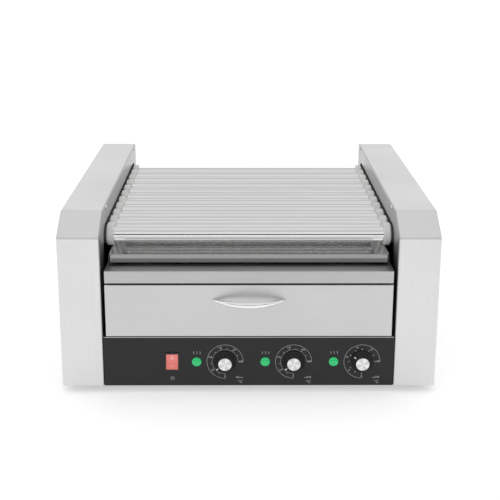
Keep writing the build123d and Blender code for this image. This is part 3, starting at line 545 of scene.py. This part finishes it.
def panHead(outward, place, length):
    # a domed head spun about its axis, its recess cut by two crossed blades
    bm = bmesh.new()
    outline = [(0, screw["height"])]
    for n in range(1, 6):
        angle = radians(18 * n)
        dome = screw["rim"] + (1 - screw["rim"]) * cos(angle)
        outline.append((screw["radius"] * sin(angle), screw["height"] * dome))
    outline += [(screw["radius"], 0), (screw["shank"], 0), (screw["shank"], -length), (0, -length)]
    lathe(bm, [(r, 0, h) for r, h in outline])
    bmesh.ops.remove_doubles(bm, verts=bm.verts, dist=1e-6)
    bmesh.ops.recalc_face_normals(bm, faces=bm.faces)
    head = bpy.data.meshes.new("screwHead")
    bm.to_mesh(head)
    bm.free()
    cutter = bmesh.new()
    for wide, deep in ((screw["blade"], screw["slot"]), (screw["slot"], screw["blade"])):
        made = bmesh.ops.create_cube(cutter, size=1)
        bmesh.ops.scale(cutter, verts=made["verts"], vec=(wide, deep, 2 * screw["recess"]))
        bmesh.ops.translate(cutter, verts=made["verts"], vec=(0, 0, screw["height"]))
    blades = bpy.data.meshes.new("screwBlades")
    cutter.to_mesh(blades)
    cutter.free()
    headObject = bpy.data.objects.new("screwHead", head)
    bladeObject = bpy.data.objects.new("screwBlades", blades)
    for thing in (headObject, bladeObject):
        bpy.context.scene.collection.objects.link(thing)
    cut = headObject.modifiers.new("recess", "BOOLEAN")
    cut.object = bladeObject
    cut.solver = "EXACT"
    cut.use_self = True
    bpy.context.view_layer.update()
    evaluated = headObject.evaluated_get(bpy.context.evaluated_depsgraph_get())
    ready = bpy.data.meshes.new_from_object(evaluated)
    bpy.data.objects.remove(headObject)
    bpy.data.objects.remove(bladeObject)
    turn = Vector((0, 0, 1)).rotation_difference(outward).to_matrix().to_4x4()
    ready.transform(Matrix.Translation(place) @ turn)
    return ready


# One box for each loose screw of the node
groups = bmesh.new()
groups.from_mesh(nodes["cover_screws"].data)
bmesh.ops.remove_doubles(groups, verts=groups.verts, dist=1e-6)
seen = set()
screwBoxes = []
for vert in groups.verts:
    if vert in seen:
        continue
    island = {vert}
    queue = [vert]
    while queue:
        for edge in queue.pop().link_edges:
            for other in edge.verts:
                if other not in island:
                    island.add(other)
                    queue.append(other)
    seen |= island
    low = Vector([min(v.co[k] for v in island) for k in range(3)])
    high = Vector([max(v.co[k] for v in island) for k in range(3)])
    screwBoxes.append((low, high))
groups.free()
bm = bmesh.new()
for low, high in screwBoxes:
    span = high - low
    middle = (low + high) / 2
    if span.x > span.y:
        outward = Vector((-1 if middle.x > 0 else 1, 0, 0))
        seat = high.x - screw["height"] if outward.x > 0 else low.x + screw["height"]
        ready = panHead(outward, Vector((seat, middle.y, middle.z)), span.x - screw["height"])
    else:
        outward = Vector((0, 1, 0))
        seat = Vector((middle.x, high.y - screw["height"], middle.z))
        ready = panHead(outward, seat, span.y - screw["height"])
    bm.from_mesh(ready)
screws = finishPiece("pan_head_screws", bm, finishes["screw_steel"], "case")
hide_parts("cover_screws")
print("screws made", len(screwBoxes))


# Bow handle: an oval section swept between an outer and an inner arc, thinner towards its ends
bow = {"bar": 0.0065, "foot": 0.010, "tip": 0.4, "stations": 48, "sides": 24}


def arcPoint(half, reach, share):
    # a point on the arc that leaves the drawer front at both ends
    radius = (half**2 + reach**2) / (2 * reach)
    turn = share * atan(half / (radius - reach))
    return Vector((radius * sin(turn), radius * (1 - cos(turn)) - reach, 0))


def bowHandle():
    low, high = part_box("drawer_handle")
    middle = Vector(((low.x + high.x) / 2, high.y, (low.z + high.z) / 2))
    half = (high.x - low.x) / 2
    reach = high.y - low.y
    bm = bmesh.new()
    rings = []
    for n in range(bow["stations"] + 1):
        share = 2 * n / bow["stations"] - 1
        outer = arcPoint(half, reach, share)
        inner = arcPoint(half - bow["foot"], reach - bow["bar"], share)
        height = (high.z - low.z) / 2 * (1 - (1 - bow["tip"]) * share**2)
        aside = (outer - inner) / 2
        place = Matrix.Translation(middle + (outer + inner) / 2)
        squash = Matrix(((aside.x, 0, 0, 0), (aside.y, 0, 0, 0), (0, height, 0, 0), (0, 0, 0, 1)))
        made = bmesh.ops.create_circle(bm, segments=bow["sides"], radius=1, matrix=place @ squash)
        rings.append(list({e for v in made["verts"] for e in v.link_edges}))
    for first, second in zip(rings, rings[1:]):
        bmesh.ops.bridge_loops(bm, edges=first + second)
    bmesh.ops.holes_fill(bm, edges=rings[0] + rings[-1], sides=0)
    for face in bm.faces:
        face.smooth = True
    return bm


chrome = finishes["handle_chrome"]
handle = finishPiece("bow_handle", bowHandle(), chrome, "drawer")
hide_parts("drawer_handle")
print("handle made")


# Rocker marks: a raised ring above and a dot below, square to the tipped face
rockerMarks = {
    "tilt": 8, "pivot": 0.0015, "ring": 0.0026, "ringHole": 0.0016, "dot": 0.0011, "place": 0.0066,
    "proud": 0.0002, "dish": 0.0022, "halfLength": 0.012,
}


def rockerMark(sign, outer, inner):
    # a small washer or disc, stood on one half of the dished face
    bm = bmesh.new()
    if inner:
        lathe(bm, [(r, 0, 0) for r in (inner, outer)])
    else:
        bmesh.ops.create_circle(bm, cap_ends=True, segments=24, radius=outer)
    raised = bmesh.ops.extrude_face_region(bm, geom=bm.faces[:], use_keep_orig=True)
    top = [v for v in raised["geom"] if isinstance(v, bmesh.types.BMVert)]
    bmesh.ops.translate(bm, verts=top, vec=(0, 0, rockerMarks["proud"]))
    slope = rockerMarks["dish"] / rockerMarks["halfLength"]
    lean = sign * atan(slope)
    depth = -rockerMarks["dish"] - slope * rockerMarks["place"]
    spot = Matrix.Translation((0, depth, sign * rockerMarks["place"]))
    onFace = spot @ Matrix.Rotation(pi / 2 + lean, 4, "X")
    tipped = Matrix.Rotation(-radians(rockerMarks["tilt"]), 4, "X") @ onFace
    hinge = Matrix.Translation((rockerX, panelFace + rockerMarks["pivot"], dialZ))
    bm.transform(hinge @ tipped)
    mesh = bpy.data.meshes.new("rockerMark")
    bm.to_mesh(mesh)
    bm.free()
    return mesh


markPaint = plastic("rockerMarkPaint", (0.9, 0.62, 0.6), 0.4)
bm = bmesh.new()
bm.from_mesh(rockerMark(1, rockerMarks["ring"], rockerMarks["ringHole"]))
bm.from_mesh(rockerMark(-1, rockerMarks["dot"], 0))
finishPiece("rocker_marks", bm, markPaint, "rocker_body")
print("rocker marked")


# Floor, light and camera
ground = {"halfSize": 12, "tone": 0.80, "roughness": 0.9, "glow": 0.44}


def stageFloor():
    mesh = bpy.data.meshes.new("floor")
    bm = bmesh.new()
    bmesh.ops.create_grid(bm, x_segments=1, y_segments=1, size=ground["halfSize"])
    bm.to_mesh(mesh)
    bm.free()
    floor = bpy.data.objects.new("floor", mesh)
    bpy.context.scene.collection.objects.link(floor)
    material, _, shader = newMaterial("paleFloor")
    shader.inputs["Base Color"].default_value = (*3 * (ground["tone"],), 1)
    shader.inputs["Roughness"].default_value = ground["roughness"]
    shader.inputs["Emission Color"].default_value = (1, 1, 1, 1)
    shader.inputs["Emission Strength"].default_value = ground["glow"]
    mesh.materials.append(material)


def softLight(name, place, target, size, power):
    data = bpy.data.lights.new(name, "AREA")
    data.shape = "RECTANGLE"
    data.size, data.size_y = size
    data.energy = power
    light = bpy.data.objects.new(name, data)
    bpy.context.scene.collection.objects.link(light)
    light.visible_camera = False
    light.location = place
    aim = Vector(target) - Vector(place)
    light.rotation_euler = aim.to_track_quat("-Z", "Y").to_euler()


stageFloor()
lights = {
    "overhead": {"place": (0, -0.1, 2.4), "size": (2.6, 2.2), "power": 5},
    "frontFill": {"place": (0, -3.0, 1.9), "size": (4.0, 1.6), "power": 3},
    "leftFill": {"place": (-2.4, -0.9, 1.0), "size": (1.8, 1.6), "power": 3},
    "rightFill": {"place": (2.4, -0.9, 1.0), "size": (1.8, 1.6), "power": 1.5},
}
for lightName, light in lights.items():
    softLight(lightName, light["place"], (0, 0, 0.15), light["size"], light["power"])

# The world is white at the horizon and darker overhead. A low dark strip on the front side gives
# the polished rollers their dark lines.
sky = {
    "frontEdge": -0.2,
    "shades": ((0.0, 0.90), (0.46, 1.0), (0.64, 1.0), (0.80, 0.76), (1.0, 0.60)),
    "strip": ((0.0, 1.0), (0.480, 1.0), (0.490, 0.04), (0.600, 0.04), (0.615, 1.0)),
}
world = bpy.data.worlds.new("studio")
world.use_nodes = True
skyTree = world.node_tree
direction = skyTree.nodes.new("ShaderNodeTexCoord")
parts = skyTree.nodes.new("ShaderNodeSeparateXYZ")
skyTree.links.new(direction.outputs["Generated"], parts.inputs["Vector"])
height = skyTree.nodes.new("ShaderNodeMapRange")
height.inputs["From Min"].default_value = -1
skyTree.links.new(parts.outputs["Z"], height.inputs["Value"])
ramps = []
for spots in (sky["shades"], sky["strip"]):
    ramp = skyTree.nodes.new("ShaderNodeValToRGB")
    ramp.color_ramp.elements[1].position = spots[-1][0]
    ramp.color_ramp.elements[0].color = (*3 * (spots[0][1],), 1)
    ramp.color_ramp.elements[1].color = (*3 * (spots[-1][1],), 1)
    for spot, shade in spots[1:-1]:
        ramp.color_ramp.elements.new(spot).color = (*3 * (shade,), 1)
    skyTree.links.new(height.outputs["Result"], ramp.inputs["Fac"])
    ramps.append(ramp)
front = skyTree.nodes.new("ShaderNodeMath")
front.operation = "LESS_THAN"
front.inputs[1].default_value = sky["frontEdge"]
skyTree.links.new(parts.outputs["Y"], front.inputs[0])
mixed = skyTree.nodes.new("ShaderNodeMix")
mixed.data_type = "RGBA"
mixed.blend_type = "MULTIPLY"
skyTree.links.new(front.outputs["Value"], mixed.inputs["Factor"])
skyTree.links.new(ramps[0].outputs["Color"], mixed.inputs["A"])
skyTree.links.new(ramps[1].outputs["Color"], mixed.inputs["B"])
skyTree.links.new(mixed.outputs["Result"], skyTree.nodes["Background"].inputs["Color"])
bpy.context.scene.world = world
bpy.context.scene.view_settings.view_transform = "Standard"

view = {
    "place": (-0.0122, -1.6225, 0.7021), "yaw": -0.545, "pitch": 14.386, "roll": 0.166,
    "lens": 69.04, "shift": -0.15,
}
yaw, pitch, roll = (radians(view[key]) for key in ("yaw", "pitch", "roll"))
forward = Vector((-sin(yaw) * cos(pitch), cos(yaw) * cos(pitch), -sin(pitch)))
level = Vector((cos(yaw), sin(yaw), 0))
below = Vector((sin(yaw) * sin(pitch), -cos(yaw) * sin(pitch), -cos(pitch)))
right = cos(roll) * level - sin(roll) * below
down = sin(roll) * level + cos(roll) * below
cameraData = bpy.data.cameras.new("camera")
cameraData.lens = view["lens"]
cameraData.sensor_width = 36
cameraData.shift_y = view["shift"]
camera = bpy.data.objects.new("camera", cameraData)
bpy.context.scene.collection.objects.link(camera)
turned = Matrix((right, -down, -forward)).transposed().to_4x4()
camera.matrix_world = Matrix.Translation(Vector(view["place"])) @ turned
bpy.context.scene.camera = camera
print("stage and camera set")
